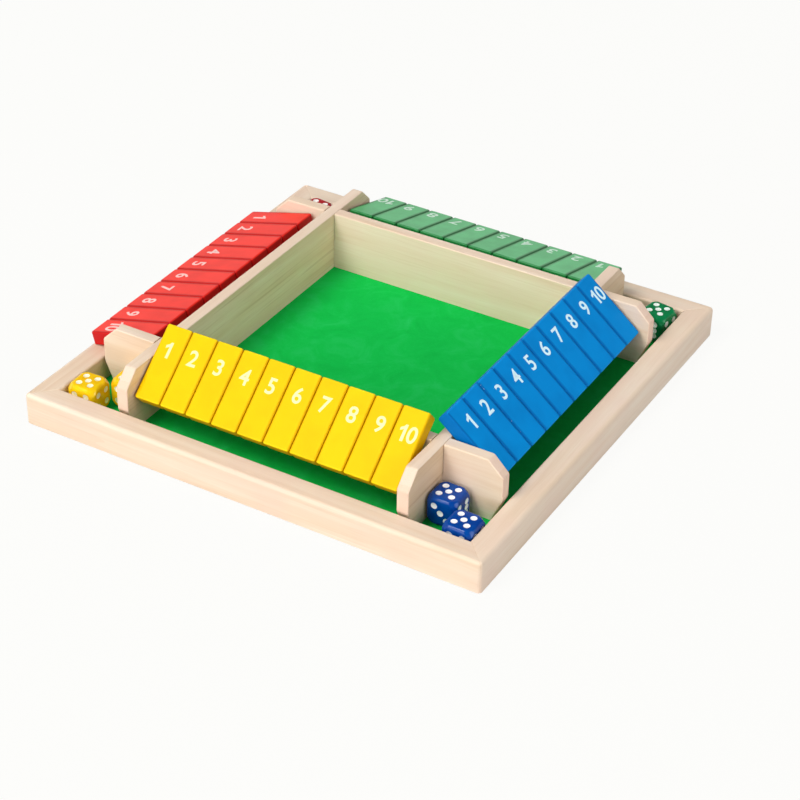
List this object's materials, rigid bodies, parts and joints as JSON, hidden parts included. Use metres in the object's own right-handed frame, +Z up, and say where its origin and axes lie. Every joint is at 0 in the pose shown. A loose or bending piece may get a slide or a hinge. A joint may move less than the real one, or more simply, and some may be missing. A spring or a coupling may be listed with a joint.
{
  "type": "shut the box game",
  "caption": "Square wooden four-player flip-tile dice game: felt tray, inner walls with eared ends, and four rows of hinged number tiles on rods.",
  "frame": {"origin": "middle of the underside, on the plane that the game rests on", "axes": "+Z up; -Y towards the player of the yellow row, +X towards the player of the blue row; green at +Y, red at -X"},
  "size_m": [0.221, 0.221, 0.0426],
  "materials": {
    "wood": "smooth sanded pale hardwood with a clear satin coat",
    "board": "thin sanded plywood",
    "felt": "short dense green felt glued down",
    "rods": "drawn steel",
    "yellow_paint": "satin-gloss yellow paint on wood",
    "blue_paint": "satin-gloss blue paint on wood",
    "green_paint": "satin-gloss green paint on wood",
    "red_paint": "satin-gloss red paint on wood",
    "yellow_dice": "polished yellow plastic with white pips",
    "blue_dice": "polished blue plastic with white pips",
    "green_dice": "polished green plastic with white pips",
    "red_dice": "polished red plastic with white pips",
    "number_white": "thin printed white paint of the tile numbers"
  },
  "bodies": {
    "tray": {"base_board": "board", "felt": "felt", "front_rail": "wood", "right_rail": "wood", "back_rail": "wood", "left_rail": "wood", "front_wall": "wood", "right_wall": "wood", "back_wall": "wood", "left_wall": "wood", "pivot_rods": "rods"},
    "yellow_1": {"yellow_tile_1": "yellow_paint"},
    "yellow_2": {"yellow_tile_2": "yellow_paint"},
    "yellow_3": {"yellow_tile_3": "yellow_paint"},
    "yellow_4": {"yellow_tile_4": "yellow_paint"},
    "yellow_5": {"yellow_tile_5": "yellow_paint"},
    "yellow_6": {"yellow_tile_6": "yellow_paint"},
    "yellow_7": {"yellow_tile_7": "yellow_paint"},
    "yellow_8": {"yellow_tile_8": "yellow_paint"},
    "yellow_9": {"yellow_tile_9": "yellow_paint"},
    "yellow_10": {"yellow_tile_10": "yellow_paint"},
    "yellow_cube_1": {"yellow_die_1": "yellow_dice"},
    "yellow_cube_2": {"yellow_die_2": "yellow_dice"},
    "blue_1": {"blue_tile_1": "blue_paint"},
    "blue_2": {"blue_tile_2": "blue_paint"},
    "blue_3": {"blue_tile_3": "blue_paint"},
    "blue_4": {"blue_tile_4": "blue_paint"},
    "blue_5": {"blue_tile_5": "blue_paint"},
    "blue_6": {"blue_tile_6": "blue_paint"},
    "blue_7": {"blue_tile_7": "blue_paint"},
    "blue_8": {"blue_tile_8": "blue_paint"},
    "blue_9": {"blue_tile_9": "blue_paint"},
    "blue_10": {"blue_tile_10": "blue_paint"},
    "blue_cube_1": {"blue_die_1": "blue_dice"},
    "blue_cube_2": {"blue_die_2": "blue_dice"},
    "green_1": {"green_tile_1": "green_paint"},
    "green_2": {"green_tile_2": "green_paint"},
    "green_3": {"green_tile_3": "green_paint"},
    "green_4": {"green_tile_4": "green_paint"},
    "green_5": {"green_tile_5": "green_paint"},
    "green_6": {"green_tile_6": "green_paint"},
    "green_7": {"green_tile_7": "green_paint"},
    "green_8": {"green_tile_8": "green_paint"},
    "green_9": {"green_tile_9": "green_paint"},
    "green_10": {"green_tile_10": "green_paint"},
    "green_cube_1": {"green_die_1": "green_dice"},
    "green_cube_2": {"green_die_2": "green_dice"},
    "red_1": {"red_tile_1": "red_paint"},
    "red_2": {"red_tile_2": "red_paint"},
    "red_3": {"red_tile_3": "red_paint"},
    "red_4": {"red_tile_4": "red_paint"},
    "red_5": {"red_tile_5": "red_paint"},
    "red_6": {"red_tile_6": "red_paint"},
    "red_7": {"red_tile_7": "red_paint"},
    "red_8": {"red_tile_8": "red_paint"},
    "red_9": {"red_tile_9": "red_paint"},
    "red_10": {"red_tile_10": "red_paint"},
    "red_cube_1": {"red_die_1": "red_dice"},
    "red_cube_2": {"red_die_2": "red_dice"}
  },
  "joints": [
    {"name": "yellow_1_flip", "type": "hinge", "parent": "tray", "child": "yellow_1", "pos_m": [-0.0582, -0.0851, 0.0244], "axis": [1, 0, 0], "range_deg": [0, 154.7]},
    {"name": "yellow_2_flip", "type": "hinge", "parent": "tray", "child": "yellow_2", "pos_m": [-0.0454, -0.0851, 0.0244], "axis": [1, 0, 0], "range_deg": [0, 154.7]},
    {"name": "yellow_3_flip", "type": "hinge", "parent": "tray", "child": "yellow_3", "pos_m": [-0.0326, -0.0851, 0.0244], "axis": [1, 0, 0], "range_deg": [0, 154.7]},
    {"name": "yellow_4_flip", "type": "hinge", "parent": "tray", "child": "yellow_4", "pos_m": [-0.0198, -0.0851, 0.0244], "axis": [1, 0, 0], "range_deg": [0, 154.7]},
    {"name": "yellow_5_flip", "type": "hinge", "parent": "tray", "child": "yellow_5", "pos_m": [-0.007, -0.0851, 0.0244], "axis": [1, 0, 0], "range_deg": [0, 154.7]},
    {"name": "yellow_6_flip", "type": "hinge", "parent": "tray", "child": "yellow_6", "pos_m": [0.0058, -0.0851, 0.0244], "axis": [1, 0, 0], "range_deg": [0, 154.7]},
    {"name": "yellow_7_flip", "type": "hinge", "parent": "tray", "child": "yellow_7", "pos_m": [0.0186, -0.0851, 0.0244], "axis": [1, 0, 0], "range_deg": [0, 154.7]},
    {"name": "yellow_8_flip", "type": "hinge", "parent": "tray", "child": "yellow_8", "pos_m": [0.0314, -0.0851, 0.0244], "axis": [1, 0, 0], "range_deg": [0, 154.7]},
    {"name": "yellow_9_flip", "type": "hinge", "parent": "tray", "child": "yellow_9", "pos_m": [0.0442, -0.0851, 0.0244], "axis": [1, 0, 0], "range_deg": [0, 154.7]},
    {"name": "yellow_10_flip", "type": "hinge", "parent": "tray", "child": "yellow_10", "pos_m": [0.057, -0.0851, 0.0244], "axis": [1, 0, 0], "range_deg": [0, 154.7]},
    {"name": "yellow_cube_1_lift", "type": "slide", "parent": "tray", "child": "yellow_cube_1", "axis": [0, 0, 1], "range_m": [0, 0.04]},
    {"name": "yellow_cube_2_lift", "type": "slide", "parent": "tray", "child": "yellow_cube_2", "axis": [0, 0, 1], "range_m": [0, 0.04]},
    {"name": "blue_1_flip", "type": "hinge", "parent": "tray", "child": "blue_1", "pos_m": [0.0851, -0.0576, 0.0244], "axis": [0, 1, 0], "range_deg": [0, 154.7]},
    {"name": "blue_2_flip", "type": "hinge", "parent": "tray", "child": "blue_2", "pos_m": [0.0851, -0.0448, 0.0244], "axis": [0, 1, 0], "range_deg": [0, 154.7]},
    {"name": "blue_3_flip", "type": "hinge", "parent": "tray", "child": "blue_3", "pos_m": [0.0851, -0.032, 0.0244], "axis": [0, 1, 0], "range_deg": [0, 154.7]},
    {"name": "blue_4_flip", "type": "hinge", "parent": "tray", "child": "blue_4", "pos_m": [0.0851, -0.0192, 0.0244], "axis": [0, 1, 0], "range_deg": [0, 154.7]},
    {"name": "blue_5_flip", "type": "hinge", "parent": "tray", "child": "blue_5", "pos_m": [0.0851, -0.0064, 0.0244], "axis": [0, 1, 0], "range_deg": [0, 154.7]},
    {"name": "blue_6_flip", "type": "hinge", "parent": "tray", "child": "blue_6", "pos_m": [0.0851, 0.0064, 0.0244], "axis": [0, 1, 0], "range_deg": [0, 154.7]},
    {"name": "blue_7_flip", "type": "hinge", "parent": "tray", "child": "blue_7", "pos_m": [0.0851, 0.0192, 0.0244], "axis": [0, 1, 0], "range_deg": [0, 154.7]},
    {"name": "blue_8_flip", "type": "hinge", "parent": "tray", "child": "blue_8", "pos_m": [0.0851, 0.032, 0.0244], "axis": [0, 1, 0], "range_deg": [0, 154.7]},
    {"name": "blue_9_flip", "type": "hinge", "parent": "tray", "child": "blue_9", "pos_m": [0.0851, 0.0448, 0.0244], "axis": [0, 1, 0], "range_deg": [0, 154.7]},
    {"name": "blue_10_flip", "type": "hinge", "parent": "tray", "child": "blue_10", "pos_m": [0.0851, 0.0576, 0.0244], "axis": [0, 1, 0], "range_deg": [0, 154.7]},
    {"name": "blue_cube_1_lift", "type": "slide", "parent": "tray", "child": "blue_cube_1", "axis": [0, 0, 1], "range_m": [0, 0.04]},
    {"name": "blue_cube_2_lift", "type": "slide", "parent": "tray", "child": "blue_cube_2", "axis": [0, 0, 1], "range_m": [0, 0.04]},
    {"name": "green_1_flip", "type": "hinge", "parent": "tray", "child": "green_1", "pos_m": [0.0576, 0.0851, 0.0244], "axis": [1, 0, 0], "range_deg": [0, 154.7]},
    {"name": "green_2_flip", "type": "hinge", "parent": "tray", "child": "green_2", "pos_m": [0.0448, 0.0851, 0.0244], "axis": [1, 0, 0], "range_deg": [0, 154.7]},
    {"name": "green_3_flip", "type": "hinge", "parent": "tray", "child": "green_3", "pos_m": [0.032, 0.0851, 0.0244], "axis": [1, 0, 0], "range_deg": [0, 154.7]},
    {"name": "green_4_flip", "type": "hinge", "parent": "tray", "child": "green_4", "pos_m": [0.0192, 0.0851, 0.0244], "axis": [1, 0, 0], "range_deg": [0, 154.7]},
    {"name": "green_5_flip", "type": "hinge", "parent": "tray", "child": "green_5", "pos_m": [0.0064, 0.0851, 0.0244], "axis": [1, 0, 0], "range_deg": [0, 154.7]},
    {"name": "green_6_flip", "type": "hinge", "parent": "tray", "child": "green_6", "pos_m": [-0.0064, 0.0851, 0.0244], "axis": [1, 0, 0], "range_deg": [0, 154.7]},
    {"name": "green_7_flip", "type": "hinge", "parent": "tray", "child": "green_7", "pos_m": [-0.0192, 0.0851, 0.0244], "axis": [1, 0, 0], "range_deg": [0, 154.7]},
    {"name": "green_8_flip", "type": "hinge", "parent": "tray", "child": "green_8", "pos_m": [-0.032, 0.0851, 0.0244], "axis": [1, 0, 0], "range_deg": [0, 154.7]},
    {"name": "green_9_flip", "type": "hinge", "parent": "tray", "child": "green_9", "pos_m": [-0.0448, 0.0851, 0.0244], "axis": [1, 0, 0], "range_deg": [0, 154.7]},
    {"name": "green_10_flip", "type": "hinge", "parent": "tray", "child": "green_10", "pos_m": [-0.0576, 0.0851, 0.0244], "axis": [1, 0, 0], "range_deg": [0, 154.7]},
    {"name": "green_cube_1_lift", "type": "slide", "parent": "tray", "child": "green_cube_1", "axis": [0, 0, 1], "range_m": [0, 0.04]},
    {"name": "green_cube_2_lift", "type": "slide", "parent": "tray", "child": "green_cube_2", "axis": [0, 0, 1], "range_m": [0, 0.04]},
    {"name": "red_1_flip", "type": "hinge", "parent": "tray", "child": "red_1", "pos_m": [-0.0851, 0.0576, 0.0244], "axis": [0, 1, 0], "range_deg": [0, 154.7]},
    {"name": "red_2_flip", "type": "hinge", "parent": "tray", "child": "red_2", "pos_m": [-0.0851, 0.0448, 0.0244], "axis": [0, 1, 0], "range_deg": [0, 154.7]},
    {"name": "red_3_flip", "type": "hinge", "parent": "tray", "child": "red_3", "pos_m": [-0.0851, 0.032, 0.0244], "axis": [0, 1, 0], "range_deg": [0, 154.7]},
    {"name": "red_4_flip", "type": "hinge", "parent": "tray", "child": "red_4", "pos_m": [-0.0851, 0.0192, 0.0244], "axis": [0, 1, 0], "range_deg": [0, 154.7]},
    {"name": "red_5_flip", "type": "hinge", "parent": "tray", "child": "red_5", "pos_m": [-0.0851, 0.0064, 0.0244], "axis": [0, 1, 0], "range_deg": [0, 154.7]},
    {"name": "red_6_flip", "type": "hinge", "parent": "tray", "child": "red_6", "pos_m": [-0.0851, -0.0064, 0.0244], "axis": [0, 1, 0], "range_deg": [0, 154.7]},
    {"name": "red_7_flip", "type": "hinge", "parent": "tray", "child": "red_7", "pos_m": [-0.0851, -0.0192, 0.0244], "axis": [0, 1, 0], "range_deg": [0, 154.7]},
    {"name": "red_8_flip", "type": "hinge", "parent": "tray", "child": "red_8", "pos_m": [-0.0851, -0.032, 0.0244], "axis": [0, 1, 0], "range_deg": [0, 154.7]},
    {"name": "red_9_flip", "type": "hinge", "parent": "tray", "child": "red_9", "pos_m": [-0.0851, -0.0448, 0.0244], "axis": [0, 1, 0], "range_deg": [0, 154.7]},
    {"name": "red_10_flip", "type": "hinge", "parent": "tray", "child": "red_10", "pos_m": [-0.0851, -0.0576, 0.0244], "axis": [0, 1, 0], "range_deg": [0, 154.7]},
    {"name": "red_cube_1_lift", "type": "slide", "parent": "tray", "child": "red_cube_1", "axis": [0, 0, 1], "range_m": [0, 0.04]},
    {"name": "red_cube_2_lift", "type": "slide", "parent": "tray", "child": "red_cube_2", "axis": [0, 0, 1], "range_m": [0, 0.04]}
  ]
}
